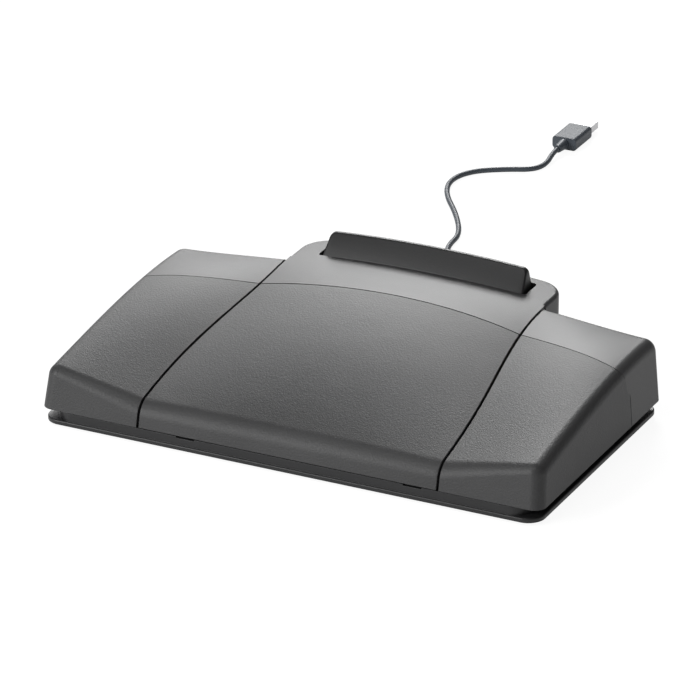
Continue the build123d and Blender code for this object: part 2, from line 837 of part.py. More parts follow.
with BuildPart() as bar_carrier:
    add(block(
        (-carrier_half_width, carrier_front_y, carrier_low_z),
        (carrier_half_width, carrier_rear_y, bar_low_z),
    ))
    add(block(
        (-stop_flange_half_width, carrier_rear_y, carrier_low_z),
        (stop_flange_half_width, stop_flange_rear_y, bar_low_z),
    ))
    add(block(
        (-stop_flange_half_width, stop_riser_front_y, bar_low_z),
        (stop_flange_half_width, stop_flange_rear_y, stop_riser_top_z),
    ))
    add(block(
        (-arm_half_width, carrier_front_y, bar_magnet_low_z + magnet_height),
        (arm_half_width, arm_rear_y, carrier_low_z),
    ))
    with BuildSketch(*[Plane.YZ.offset(x - carrier_ear_width / 2) for x in (-pivot_x, pivot_x)]):
        Polygon(*carrier_ear_points, align=None)
        with Locations((pivot_y, pivot_z)):
            Circle(pivot_disc_radius)
        with Locations((pivot_y, pivot_z)):
            Circle(pivot_pin_radius + pin_clearance, mode=Mode.SUBTRACT)
    extrude(amount=carrier_ear_width)
bar_carrier.part.label = "bar_carrier"
export_step(bar_carrier.part, "parts/bar_carrier.step")
bar_magnet = block(
    (-magnet_radius, carrier_front_y, bar_magnet_low_z),
    (magnet_radius, arm_rear_y, bar_magnet_low_z + magnet_height),
)
bar_magnet.label = "bar_magnet"
export_step(bar_magnet, "parts/bar_magnet.step")
with BuildPart() as bar_pivot_pins:
    with Locations(*[Location((x, pivot_y, pivot_z), (0, 90, 0)) for x in (-pivot_x, pivot_x)]):
        Cylinder(pivot_pin_radius, pivot_pin_length)
bar_pivot_pins.part.label = "bar_pivot_pins"
export_step(bar_pivot_pins.part, "parts/bar_pivot_pins.step")
bar_spring = coil_spring(bar_spring_radius, bar_wire_radius, carrier_low_z - shelf_top_z)
with BuildPart() as bar_springs:
    with Locations((-bar_spring_x, bar_spring_y, shelf_top_z), (bar_spring_x, bar_spring_y, shelf_top_z)):
        add(bar_spring)
bar_springs.part.label = "bar_springs"
export_step(bar_springs.part, "parts/bar_springs.step")


def foot_plan(half_width, front_y, rear_y, tab_half, tab_y, radius, tab_radius):
    """Outline of the foot: a wide rectangle with a narrower tab behind it."""
    with BuildSketch() as plan:
        with Locations((0, (front_y + rear_y) / 2)):
            RectangleRounded(2 * half_width, rear_y - front_y, radius)
        with Locations((0, tab_y / 2)):
            RectangleRounded(2 * tab_half, tab_y, tab_radius)
    return plan.sketch


# Base tray: floor with its tab, plinth, knuckles, hollow posts and bosses
all_posts = centre_posts + [(-wing_spring_x, spring_y), (wing_spring_x, spring_y)]
ballast_places = [(x, y) for x in (-ballast_screw_x, ballast_screw_x) for y in ballast_screw_y]
knuckle_shift = ear_width / 2 + slip_gap + knuckle_width / 2
ear_places = [-x for x in wing_hinge_x] + centre_hinge_x + wing_hinge_x
knuckle_places = [x + way * knuckle_shift for x in ear_places for way in (-1, 1)]
stem = [
    (hinge_y - hinge_disc_radius, floor_z),
    (hinge_y - hinge_disc_radius, hinge_z),
    (hinge_y + hinge_disc_radius, hinge_z),
    (hinge_y + hinge_disc_radius, floor_z),
]
tray_plan = foot_plan(
    foot_width / 2, rim_front_y, rim_rear_y, tab_foot_half_width, tab_foot_y,
    tray_corner_radius, tab_corner_radius,
)
plinth_plan = foot_plan(
    plinth_half_width, plinth_front_y, plinth_rear_y, tab_plinth_half_width, tab_plinth_rear_y,
    tray_corner_radius, tray_corner_radius,
)
with BuildPart() as base_tray:
    with BuildSketch(Plane.XY.offset(rest_pad_thickness)):
        add(tray_plan)
    extrude(amount=tray_floor_thickness)
    fillet(base_tray.faces().sort_by(Axis.Z)[-1].edges(), radius=tray_edge_radius)
    with BuildSketch(Plane.XY.offset(floor_z)):
        add(plinth_plan)
        offset(plinth_plan, amount=-plinth_wall, mode=Mode.SUBTRACT)
    extrude(amount=plinth_top_z - floor_z)
    add(block(
        (-plinth_half_width, plinth_front_y - wall, band_top_z),
        (plinth_half_width, band_rear_y, plinth_top_z + wall),
    ), mode=Mode.SUBTRACT)
    for x in band_notch_x:
        add(block(
            (x - band_notch_width / 2, plinth_front_y - wall, band_top_z - band_notch_depth),
            (x + band_notch_width / 2, band_rear_y, band_top_z),
        ), mode=Mode.SUBTRACT)
    add(block(
        (gland_x - gland_notch_width / 2, tab_plinth_rear_y - plinth_wall, plinth_top_z),
        (gland_x + gland_notch_width / 2, tab_plinth_rear_y, gland_wall_top_z),
    ))
    with Locations(Location((gland_x, tab_plinth_rear_y, gland_z), (90, 0, 0))):
        Cylinder(gland_neck_radius + screw_fit, 2 * gland_boot_radius, mode=Mode.SUBTRACT)
    add(hinge_pieces(knuckle_places, knuckle_width, hinge_disc_radius, pin_radius + pin_press, stem))
    add(upright(post_radius, all_posts, floor_z, post_top_z))
    add(upright(ballast_boss_radius, ballast_places, floor_z, floor_z + ballast_boss_height))
    add(upright(board_boss_radius, board_screw_places, floor_z, board_low_z))
    add(upright(post_bore_radius, all_posts, rest_pad_thickness, post_top_z), mode=Mode.SUBTRACT)
    add(upright(post_counterbore_radius, all_posts, rest_pad_thickness, post_shoulder_z), mode=Mode.SUBTRACT)
    ballast_hole_z = floor_z + ballast_thickness - ballast_shank_length
    add(upright(
        ballast_shank_radius + screw_fit, ballast_places, ballast_hole_z, floor_z + ballast_thickness
    ), mode=Mode.SUBTRACT)
    board_hole_z = board_low_z + board_thickness - board_shank_length
    add(upright(
        board_shank_radius + screw_fit, board_screw_places, board_hole_z, board_low_z
    ), mode=Mode.SUBTRACT)
base_tray.part.label = "base_tray"
export_step(base_tray.part, "parts/base_tray.step")

# Soft rest pad under the tray
with BuildPart() as rest_pad:
    with BuildSketch():
        offset(tray_plan, amount=-pad_inset)
    extrude(amount=rest_pad_thickness)
    add(upright(pad_hole_radius, all_posts, 0, rest_pad_thickness), mode=Mode.SUBTRACT)
rest_pad.part.label = "rest_pad"
export_step(rest_pad.part, "parts/rest_pad.step")

# Ballast plate and its screws
with BuildPart() as ballast_plate:
    add(block(
        (-ballast_half_width, ballast_front_y, floor_z),
        (ballast_half_width, ballast_rear_y, floor_z + ballast_thickness),
    ))
    add(upright(
        ballast_boss_radius + slip_gap, ballast_places, floor_z, floor_z + ballast_thickness
    ), mode=Mode.SUBTRACT)
ballast_plate.part.label = "ballast_plate"
export_step(ballast_plate.part, "parts/ballast_plate.step")
with BuildPart() as ballast_screws:
    head_z = floor_z + ballast_thickness
    add(upright(ballast_head_radius, ballast_places, head_z, head_z + ballast_head_height))
    add(upright(ballast_shank_radius, ballast_places, head_z - ballast_shank_length, head_z))
ballast_screws.part.label = "ballast_screws"
export_step(ballast_screws.part, "parts/ballast_screws.step")

# Circuit board with its chip, sensors, header and screws
board_top_z = board_low_z + board_thickness
with BuildPart() as circuit_board:
    add(block(
        (-board_half_width, board_front_y, board_low_z),
        (board_half_width, board_bend_y, board_top_z),
    ))
    add(block(
        (board_leg_left_x, board_bend_y, board_low_z),
        (board_leg_right_x, board_rear_y, board_top_z),
    ))
    add(upright(
        board_shank_radius + screw_fit, board_screw_places, board_low_z, board_top_z
    ), mode=Mode.SUBTRACT)
circuit_board.part.label = "circuit_board"
export_step(circuit_board.part, "parts/circuit_board.step")
with BuildPart() as board_screws:
    add(upright(board_head_radius, board_screw_places, board_top_z, board_top_z + board_head_height))
    add(upright(board_shank_radius, board_screw_places, board_top_z - board_shank_length, board_top_z))
board_screws.part.label = "board_screws"
export_step(board_screws.part, "parts/board_screws.step")
board_chip = block(
    (chip_x - chip_size / 2, chip_y - chip_size / 2, board_top_z),
    (chip_x + chip_size / 2, chip_y + chip_size / 2, board_top_z + chip_height),
)
board_chip.label = "board_chip"
export_step(board_chip, "parts/board_chip.step")
with BuildPart() as hall_sensors:
    with Locations(
        (-wing_sensor_x, sensor_y, board_top_z), (wing_sensor_x, sensor_y, board_top_z),
        (0, sensor_y, board_top_z), (0, bar_magnet_y, board_top_z),
    ):
        Box(sensor_length, sensor_width, sensor_height, align=(Align.CENTER, Align.CENTER, Align.MIN))
hall_sensors.part.label = "hall_sensors"
export_step(hall_sensors.part, "parts/hall_sensors.step")
board_header = block(
    (header_x - header_width / 2, header_front_y, board_top_z),
    (header_x + header_width / 2, header_rear_y, board_top_z + header_height),
)
board_header.label = "board_header"
export_step(board_header, "parts/board_header.step")

# Soft bumpers that end the pedals' travel
wing_bumper_places = [(way * x, wing_bumper_y) for x in wing_bumper_x for way in (-1, 1)]
centre_bumper_places = [(way * centre_bumper_x, centre_bumper_y) for way in (-1, 1)]
with BuildPart() as travel_bumpers:
    add(upright(bumper_radius, wing_bumper_places, floor_z, floor_z + wing_bumper_height))
    add(upright(bumper_radius, centre_bumper_places, floor_z, floor_z + centre_bumper_height))
travel_bumpers.part.label = "travel_bumpers"
export_step(travel_bumpers.part, "parts/travel_bumpers.step")

# Cable gland and the lead inside it
gland_inner_y = tab_plinth_rear_y - plinth_wall - slip_gap
with BuildPart() as cable_gland:
    with BuildSketch(Plane.XZ.offset(-gland_inner_y)):
        with Locations((gland_x, gland_z)):
            Circle(gland_flange_radius)
    extrude(amount=gland_flange_length)
    with BuildSketch(Plane.XZ.offset(-gland_inner_y)):
        with Locations((gland_x, gland_z)):
            Circle(gland_neck_radius)
    extrude(amount=gland_inner_y - tab_plinth_rear_y - gland_flange_length)
    boot_start_y = tab_plinth_rear_y + slip_gap
    for y, radius in ((boot_start_y, gland_boot_radius), (gland_end_y, gland_tip_radius)):
        with BuildSketch(Plane.XZ.offset(-y)):
            with Locations((gland_x, gland_z)):
                Circle(radius)
    loft()
cable_gland.part.label = "cable_gland"
export_step(cable_gland.part, "parts/cable_gland.step")
with BuildPart() as inner_lead:
    with BuildSketch(Plane.XZ.offset(-header_rear_y)):
        with Locations((gland_x, gland_z)):
            Circle(cord_radius)
    extrude(amount=header_rear_y + gland_flange_length - gland_inner_y)
inner_lead.part.label = "inner_lead"
export_step(inner_lead.part, "parts/inner_lead.step")


def corner_radii(points):
    """Bend radius at each corner of a route, as large as its two runs allow."""
    radii = []
    for before, corner, after in zip(points, points[1:], points[2:]):
        run_in = Vector(*corner) - Vector(*before)
        run_out = Vector(*after) - Vector(*corner)
        half_turn = radians(run_in.get_angle(run_out)) / 2
        radii.append(cord_bend_share * min(run_in.length, run_out.length) / tan(half_turn))
    return radii


def cord_tube(points):
    """A round cord along straight runs joined by tangent arcs."""
    radii = corner_radii(points)
    print("cord bend radii", [round(radius, 1) for radius in radii])
    with BuildPart() as tube:
        with BuildLine() as route:
            FilletPolyline(*points, radius=radii)
        with BuildSketch(Plane(origin=route.line @ 0, z_dir=route.line % 0)):
            Circle(cord_radius)
        sweep()
    length = sum(edge.length for edge in route.edges())
    print("cord length", round(length, 1), round(tube.part.volume / pi / cord_radius**2, 1))
    return tube.part


cord_lead = cord_tube(cord_lead_points)
cord_lead.label = "cord_lead"
export_step(cord_lead, "parts/cord_lead.step")
cord_run = cord_tube(cord_run_points)
cord_run.label = "cord_run"
export_step(cord_run, "parts/cord_run.step")


coil_inner_radius = coil_outer_radius - coil_loops_per_layer * coil_step


def coil_place(turns):
    """Point and direction of the coil after a number of turns."""
    part = turns / coil_loops_per_layer
    level = int(part)
    along = (part - level) * coil_loops_per_layer * coil_step
    inwards = level % 2 == 0
    radius = coil_outer_radius - along if inwards else coil_inner_radius + along
    angle = 2 * pi * (turns - coil_start_turns)
    slope = coil_step / (2 * pi) * (-1 if inwards else 1)
    if turns in (coil_start_turns, coil_end_turns):
        slope = 0
    height = coil_low_z + level * coil_step
    point = Vector(coil_x + radius * cos(angle), coil_y + radius * sin(angle), height)
    way = Vector(slope * cos(angle) - radius * sin(angle), slope * sin(angle) + radius * cos(angle), 0)
    return point, way.normalized()


# Coil of spare cord: loops that spiral in and out again, four layers deep
with BuildPart() as cord_coil:
    with BuildLine() as coil_line:
        half_turns = int(2 * (coil_end_turns - coil_start_turns))
        nodes = [coil_place(coil_start_turns + step / 2) for step in range(half_turns + 1)]
        for (start, start_way), (end, end_way) in zip(nodes, nodes[1:]):
            across = end - start
            ways = start_way + end_way
            square = 2 * (1 - start_way.dot(end_way))
            linear = 2 * across.dot(ways)
            reach = (-linear + sqrt(linear**2 + 4 * square * across.dot(across))) / (2 * square)
            middle = (start + end + (start_way - end_way) * reach) / 2
            middle_way = (end - start - ways * reach).normalized()
            TangentArc(start, middle, tangent=start_way)
            TangentArc(middle, end, tangent=middle_way)
    with BuildSketch(Plane(origin=coil_line.line @ 0, z_dir=coil_line.line % 0)):
        Circle(cord_radius)
    sweep()
coil_length = sum(edge.length for edge in coil_line.edges())
print("coil length", round(coil_length, 1), round(cord_coil.part.volume / pi / cord_radius**2, 1))
coil_spots = []
for edge in coil_line.edges():
    coil_spots += [edge @ share for share in coil_spot_shares]
spot_run = coil_length / len(coil_spots)
nearest = overall_width
for place, spot in enumerate(coil_spots):
    skipped = int(coil_outer_radius / spot_run) + 1
    for other in coil_spots[place + skipped:]:
        nearest = min(nearest, (spot - other).length)
print("least gap of the coil to itself", round(nearest - 2 * cord_radius, 2))
cord_coil.part.label = "cord_coil"
export_step(cord_coil.part, "parts/cord_coil.step")

# Tie round the coil
tie_inner_x = [coil_x - coil_outer_radius - cord_radius, coil_x - coil_inner_radius + cord_radius]
coil_top_z = coil_low_z + (coil_layers - 1) * coil_step + cord_radius
tie_inner_z = [coil_low_z - cord_radius - tie_clearance, coil_top_z + tie_clearance]
with BuildPart() as coil_tie:
    low = (tie_inner_x[0] - tie_thickness, coil_y - tie_width / 2, tie_inner_z[0] - tie_thickness)
    high = (tie_inner_x[1] + tie_thickness, coil_y + tie_width / 2, tie_inner_z[1] + tie_thickness)
    add(block(low, high))
    add(block(
        (tie_inner_x[0], coil_y - tie_width, tie_inner_z[0]),
        (tie_inner_x[1], coil_y + tie_width, tie_inner_z[1]),
    ), mode=Mode.SUBTRACT)
coil_tie.part.label = "coil_tie"
export_step(coil_tie.part, "parts/coil_tie.step")

# Plug at the cord's far end
plug_body_y = plug_start_y + relief_length
plug_shell_y = plug_body_y + plug_body_length
with BuildPart() as plug_body:
    for y, radius in ((plug_start_y, relief_start_radius), (plug_body_y, relief_end_radius)):
        with BuildSketch(Plane.XZ.offset(-y)):
            with Locations((plug_x, plug_z)):
                Circle(radius)
    loft()
    with BuildSketch(Plane.XZ.offset(-plug_body_y)):
        with Locations((plug_x, plug_z)):
            RectangleRounded(plug_body_width, plug_body_height, plug_corner_radius)
    extrude(amount=-plug_body_length)
plug_body.part.label = "plug_body"
export_step(plug_body.part, "parts/plug_body.step")
with BuildPart() as plug_shell:
    with BuildSketch(Plane.XZ.offset(-plug_shell_y)):
        with Locations((plug_x, plug_z)):
            Rectangle(plug_shell_width, plug_shell_height)
            room_width = plug_shell_width - 2 * plug_shell_wall
            room_height = plug_shell_height - 2 * plug_shell_wall
            Rectangle(room_width, room_height, mode=Mode.SUBTRACT)
    extrude(amount=-plug_shell_length)
plug_shell.part.label = "plug_shell"
export_step(plug_shell.part, "parts/plug_shell.step")
insert_end_y = plug_shell_y + plug_shell_length - plug_insert_inset
plug_insert = block(
    (plug_x - plug_insert_width / 2, plug_shell_y, plug_z),
    (plug_x + plug_insert_width / 2, insert_end_y, plug_z + plug_insert_height),
)
plug_insert.label = "plug_insert"
export_step(plug_insert, "parts/plug_insert.step")
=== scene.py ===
import math

import bpy
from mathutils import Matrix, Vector


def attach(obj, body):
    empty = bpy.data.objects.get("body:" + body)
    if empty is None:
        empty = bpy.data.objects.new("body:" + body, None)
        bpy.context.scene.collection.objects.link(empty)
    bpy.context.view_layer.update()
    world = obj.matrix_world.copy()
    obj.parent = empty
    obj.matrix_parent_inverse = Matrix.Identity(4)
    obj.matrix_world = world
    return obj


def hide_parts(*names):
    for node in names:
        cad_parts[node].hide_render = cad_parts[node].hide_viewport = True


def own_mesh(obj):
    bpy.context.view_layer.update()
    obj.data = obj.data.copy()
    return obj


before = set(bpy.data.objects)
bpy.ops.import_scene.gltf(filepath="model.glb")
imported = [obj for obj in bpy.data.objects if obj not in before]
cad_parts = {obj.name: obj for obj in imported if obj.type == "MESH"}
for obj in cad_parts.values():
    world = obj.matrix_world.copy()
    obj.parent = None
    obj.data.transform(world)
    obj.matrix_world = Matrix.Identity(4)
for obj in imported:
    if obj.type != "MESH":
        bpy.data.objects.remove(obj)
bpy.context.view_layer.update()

# Camera. It stands to the right of the object and a little above it, far away with
# a long lens, and the whole foot control fits in a square picture.
camera_data = bpy.data.cameras.new("camera")
camera_data.lens = 284.5
camera_data.sensor_width = 36.0
camera_data.clip_end = 20.0
camera = bpy.data.objects.new("camera", camera_data)
camera.location = (1.2089, -2.4823, 1.2734)
camera.rotation_euler = (math.radians(90 - 24.1663), 0, math.radians(26.1248))
bpy.context.scene.collection.objects.link(camera)
bpy.context.scene.camera = camera

# Cord. A limp round cord with a soft plastic jacket comes out of the boot at the back,
# winds into a tied coil behind the object and runs on to its plug.
lead_points = [(-0.012, 0.108, 0.011), (-0.012, 0.118, 0.011), (-0.012, 0.134, 0.0024)]
run_points = [
    (-0.013875, 0.166, 0.01365), (-0.018, 0.188, 0.0016), (-0.046, 0.203, 0.0016),
    (-0.0535, 0.222, 0.0016), (-0.054, 0.240, 0.0016), (-0.069, 0.267, 0.0016),
    (-0.0885, 0.293, 0.0016), (-0.0955, 0.314, 0.0016), (-0.090, 0.332, 0.0016),
    (-0.072, 0.3445, 0.0016), (-0.057, 0.351, 0.0016), (-0.0535, 0.363, 0.0016),
    (-0.055, 0.375, 0.004), (-0.055, 0.382, 0.004),
]
cord_radius = 0.0016
coil_centre = (-0.0356125, 0.144)
coil_outer, coil_pitch, coil_low = 0.02455, 0.00375, 0.0024
coil_turns, first_turn, steps_per_turn = 11, 0.25, 24
layer_turns, climb_turns = 3, 0.5
curve_allowance = 1.004  # the curve runs a little inside its points
coil_points = []
for step in range(coil_turns * steps_per_turn + 1):
    turns = first_turn + step / steps_per_turn
    layer = int(turns / layer_turns)
    along = (turns - layer_turns * layer) * coil_pitch
    if layer % 2 == 0:
        radius = coil_outer - along
    else:
        radius = coil_outer - layer_turns * coil_pitch + along
    radius *= curve_allowance
    rise = layer
    for upper in (1, 2, 3):
        near = (turns - upper * layer_turns + climb_turns / 2) / climb_turns
        if 0 < near < 1:
            rise = upper - 1 + near * near * (3 - 2 * near)
    angle = 2 * math.pi * (turns - first_turn)
    coil_points.append((
        coil_centre[0] + radius * math.cos(angle),
        coil_centre[1] + radius * math.sin(angle),
        coil_low + rise * coil_pitch,
    ))
cord_data = bpy.data.curves.new("cord", "CURVE")
cord_data.dimensions = "3D"
cord_data.bevel_depth = 1.0
cord_data.bevel_resolution = 5
cord_data.use_fill_caps = True
spline = cord_data.splines.new("NURBS")
cord_route = lead_points + coil_points + run_points
spline.points.add(len(cord_route) - 1)
for point, place in zip(spline.points, cord_route):
    point.co = (*place, 1)
    point.radius = cord_radius
spline.order_u = 3
spline.use_endpoint_u = True
spline.resolution_u = 6
cord = bpy.data.objects.new("cord", cord_data)
bpy.context.scene.collection.objects.link(cord)
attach(cord, "base")
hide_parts("cord_lead", "cord_coil", "cord_run")


def moulded(name, dark, light, rough, grain_size, grain_depth, patch_size=0.05, metallic=0.0):
    """A moulded or turned surface: two close colours in faint clouds and a fine grain."""
    material = bpy.data.materials.new(name)
    material.use_nodes = True
    nodes, links = material.node_tree.nodes, material.node_tree.links
    shader = nodes["Principled BSDF"]
    speck_share, specks_per_grain, gloss_spread = 0.6, 1.7, 0.06
    place = nodes.new("ShaderNodeTexCoord")
    clouds = nodes.new("ShaderNodeTexNoise")
    clouds.inputs["Scale"].default_value = 1 / patch_size
    clouds.inputs["Detail"].default_value = 3
    mottle = nodes.new("ShaderNodeMix")
    mottle.inputs["Factor"].default_value = speck_share
    tint = nodes.new("ShaderNodeValToRGB")
    tint.color_ramp.elements[0].position = 0.3
    tint.color_ramp.elements[1].position = 0.7
    tint.color_ramp.elements[0].color = (*dark, 1)
    tint.color_ramp.elements[1].color = (*light, 1)
    grain = nodes.new("ShaderNodeTexVoronoi")
    grain.feature = "SMOOTH_F1"
    grain.inputs["Scale"].default_value = 1 / grain_size
    specks = nodes.new("ShaderNodeTexNoise")
    specks.inputs["Scale"].default_value = specks_per_grain / grain_size
    specks.inputs["Detail"].default_value = 4
    relief = nodes.new("ShaderNodeMath")
    relief.operation = "ADD"
    bump = nodes.new("ShaderNodeBump")
    bump.inputs["Strength"].default_value = 1.0
    bump.inputs["Distance"].default_value = grain_depth
    gloss = nodes.new("ShaderNodeMapRange")
    gloss.inputs["To Min"].default_value = rough - gloss_spread
    gloss.inputs["To Max"].default_value = rough + gloss_spread
    for pattern in (clouds, grain, specks):
        links.new(place.outputs["Object"], pattern.inputs["Vector"])
    links.new(clouds.outputs["Fac"], mottle.inputs["A"])
    links.new(specks.outputs["Fac"], mottle.inputs["B"])
    links.new(mottle.outputs["Result"], tint.inputs["Fac"])
    links.new(tint.outputs["Color"], shader.inputs["Base Color"])
    links.new(grain.outputs["Distance"], relief.inputs[0])
    links.new(specks.outputs["Fac"], relief.inputs[1])
    links.new(relief.outputs[0], bump.inputs["Height"])
    links.new(bump.outputs["Normal"], shader.inputs["Normal"])
    links.new(specks.outputs["Fac"], gloss.inputs["Value"])
    links.new(gloss.outputs["Result"], shader.inputs["Roughness"])
    shader.inputs["Metallic"].default_value = metallic
    return material


def paint(name, material):
    """Give a solid piece its material."""
    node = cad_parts[name]
    node.data.materials.clear()
    node.data.materials.append(material)


def round_edges(piece, width, segments, turn, held=True):
    """Round the edges that turn by more than an angle. Held, no edge runs into the next."""
    rounding = piece.modifiers.new("rounding", "BEVEL")
    rounding.width = width
    rounding.segments = segments
    rounding.limit_method = "ANGLE"
    rounding.angle_limit = math.radians(turn)
    rounding.use_clamp_overlap = held
    bpy.ops.object.modifier_apply(modifier=rounding.name)


def refined(node_name, piece_name, body, material, edge=0.0, turn=35, rounds=2, held=False):
    """A piece with its points merged, its sharp edges rounded and its faces smooth."""
    merge_distance, flat_turn, face_weight = 0.000002, 0.3, 100
    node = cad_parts[node_name]
    piece = bpy.data.objects.new(piece_name, node.data.copy())
    bpy.context.scene.collection.objects.link(piece)
    bpy.ops.object.select_all(action="DESELECT")
    piece.select_set(True)
    bpy.context.view_layer.objects.active = piece
    bpy.ops.object.mode_set(mode="EDIT")
    bpy.ops.mesh.select_all(action="SELECT")
    bpy.ops.mesh.remove_doubles(threshold=merge_distance)
    bpy.ops.mesh.dissolve_limited(angle_limit=math.radians(flat_turn))
    bpy.ops.object.mode_set(mode="OBJECT")
    if edge:
        round_edges(piece, edge, rounds, turn, held)
    bpy.ops.object.shade_smooth_by_angle(angle=math.radians(turn))
    evening = piece.modifiers.new("evening", "WEIGHTED_NORMAL")
    evening.weight = face_weight
    evening.keep_sharp = True
    bpy.ops.object.modifier_apply(modifier=evening.name)
    piece.data.materials.clear()
    piece.data.materials.append(material)
    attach(piece, body)
    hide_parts(node_name)
    return piece


jacket = moulded(
    "cord_jacket", (0.060, 0.072, 0.088), (0.068, 0.080, 0.096), 0.46, 0.0004, 0.000002,
)
cord_data.materials.append(jacket)

# Strain relief. A soft boot, moulded in one with the collar that grips the wall of the
# plinth, tapers round the cord and has rings cut into it so that it bends evenly.
soft_black = moulded(
    "soft_black", (0.012, 0.012, 0.013), (0.018, 0.018, 0.019), 0.55, 0.0006, 0.00002,
)
boot_inner_end, boot_outer_end, boot_radius = 0.083, 0.108, 0.005
ring_count, groove = 6, 0.86
# Each step is a length along the cord and the factor by which the end then changes.
collar_steps = [(0.003, 1), (0, 0.6), (0.0029, 1), (0, 1.4), (0.0022, 0.985)]
ring_steps = [(0.0007, groove), (0.0005, 1), (0.0006, 1 / groove * 0.955), (0.0008, 0.975)]
boot_steps = collar_steps + ring_steps * ring_count
tip_length = boot_outer_end - boot_inner_end - sum(length for length, factor in boot_steps)
boot_steps.append((tip_length, 0.9))
bpy.ops.object.select_all(action="DESELECT")
bpy.ops.mesh.primitive_circle_add(
    vertices=48, radius=boot_radius, fill_type="NGON",
    location=(-0.012, boot_inner_end, 0.011), rotation=(math.radians(90), 0, 0),
)
boot = bpy.context.object
boot.name = "cord_boot"
bpy.ops.object.transform_apply(location=False, rotation=True, scale=True)
bpy.ops.object.mode_set(mode="EDIT")
bpy.ops.mesh.select_all(action="SELECT")
for length, factor in boot_steps:
    bpy.ops.mesh.extrude_region_move(TRANSFORM_OT_translate={"value": (0, length, 0)})
    if factor != 1:
        bpy.ops.transform.resize(value=(factor, 1, factor))
bpy.ops.object.mode_set(mode="OBJECT")
round_edges(boot, width=0.00015, segments=2, turn=30)
bpy.ops.object.mode_set(mode="EDIT")
bpy.ops.mesh.select_all(action="SELECT")
bpy.ops.mesh.normals_make_consistent(inside=False)
bpy.ops.object.mode_set(mode="OBJECT")
bpy.ops.object.transform_apply(location=True, rotation=True, scale=True)
bpy.ops.object.shade_smooth_by_angle(angle=math.radians(40))
boot.data.materials.append(soft_black)
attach(boot, "base")
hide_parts("cable_gland")
paint("inner_lead", jacket)


# Cord tie. A flat soft strap with rounded corners goes once round all the loops of the
# spare cord.
def block(name, centre, size):
    """A plain block to work a piece out of."""
    bpy.ops.object.select_all(action="DESELECT")
    bpy.ops.mesh.primitive_cube_add(size=1, location=centre, scale=size)
    piece = bpy.context.object
    piece.name = name
    bpy.ops.object.transform_apply(location=True, rotation=True, scale=True)
    return piece


def select_none(kind):
    """Start a choice of faces or edges with none of them."""
    bpy.ops.object.mode_set(mode="EDIT")
    bpy.ops.mesh.select_mode(type=kind)
    bpy.ops.mesh.select_all(action="DESELECT")
    bpy.ops.object.mode_set(mode="OBJECT")


def pick_faces(piece, wanted):
    """Choose the faces whose direction passes the test, ready to be worked on."""
    select_none("FACE")
    for face in piece.data.polygons:
        face.select = wanted(face.normal)
    bpy.ops.object.mode_set(mode="EDIT")


def pick_edges(piece, wanted):
    """Choose the edges whose middle and direction pass the test, ready to be worked on."""
    select_none("EDGE")
    points = piece.data.vertices
    for edge in piece.data.edges:
        low, high = (points[corner].co for corner in edge.vertices)
        edge.select = wanted((low + high) / 2, high - low)
    bpy.ops.object.mode_set(mode="EDIT")


strap_width, strap_thickness, strap_corner = 0.005, 0.0007, 0.0036
cord_tie = block("cord_tie", (-0.054535, 0.144, 0.0080), (0.0148, strap_width, 0.0158))
pick_faces(cord_tie, lambda normal: abs(normal.y) > 0.9)
bpy.ops.mesh.delete(type="ONLY_FACE")
pick_edges(cord_tie, lambda middle, way: abs(way.y) > 0.8 * strap_width)
bpy.ops.mesh.bevel(offset=strap_corner, segments=7, affect="EDGES")
bpy.ops.object.mode_set(mode="OBJECT")
strap = cord_tie.modifiers.new("strap", "SOLIDIFY")
strap.thickness = strap_thickness
strap.offset = -1
bpy.ops.object.modifier_apply(modifier=strap.name)
round_edges(cord_tie, width=0.0002, segments=2, turn=40)
bpy.ops.object.shade_smooth_by_angle(angle=math.radians(40))
cord_tie.data.materials.append(soft_black)
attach(cord_tie, "base")
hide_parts("coil_tie")

# Plug. A moulded grip with a short relief holds a folded metal shell of the standard
# size, with the contact tongue inside it.
bright_steel = moulded(
    "bright_steel", (0.50, 0.50, 0.51), (0.58, 0.58, 0.59), 0.28, 0.0004, 0.000004, metallic=1.0,
)
tongue = moulded(
    "contact_tongue", (0.03, 0.03, 0.032), (0.04, 0.04, 0.043), 0.5, 0.0005, 0.00001,
)
plug_grip = refined("plug_body", "plug_grip", "base", jacket, edge=0.0005, rounds=3)
paint("plug_shell", bright_steel)
paint("plug_insert", tongue)

# Rest pad. A sheet of soft foam rubber under the tray keeps the control from sliding.
# Its edge is cut square and its face is finely pitted.
foam = moulded("foam_rubber", (0.020, 0.020, 0.021), (0.030, 0.030, 0.031), 0.8, 0.0012, 0.00012)
refined("rest_pad", "soft_rest_pad", "base", foam, edge=0.0002)

# Base tray. One dark moulding in a harder, glossier plastic: the rim that shows all
# round, the band under the pedals, and the knuckles and posts inside.
tray_plastic = moulded(
    "tray_plastic", (0.016, 0.016, 0.017), (0.022, 0.022, 0.023), 0.40, 0.0009, 0.000003,
)
refined("base_tray", "base_moulding", "base", tray_plastic, edge=0.0002)

# Ballast. A plain zinc-plated steel plate near the front edge, held by four screws,
# gives the base its weight. The other screws inside are plated alike.
zinc = moulded(
    "zinc_plate", (0.42, 0.43, 0.44), (0.55, 0.56, 0.57), 0.35, 0.0030, 0.00001,
    patch_size=0.012, metallic=1.0,
)
paint("ballast_plate", zinc)
paint("ballast_screws", zinc)
paint("board_screws", zinc)
for side in ("left", "centre", "right"):
    paint(f"{side}_panel_screws", zinc)

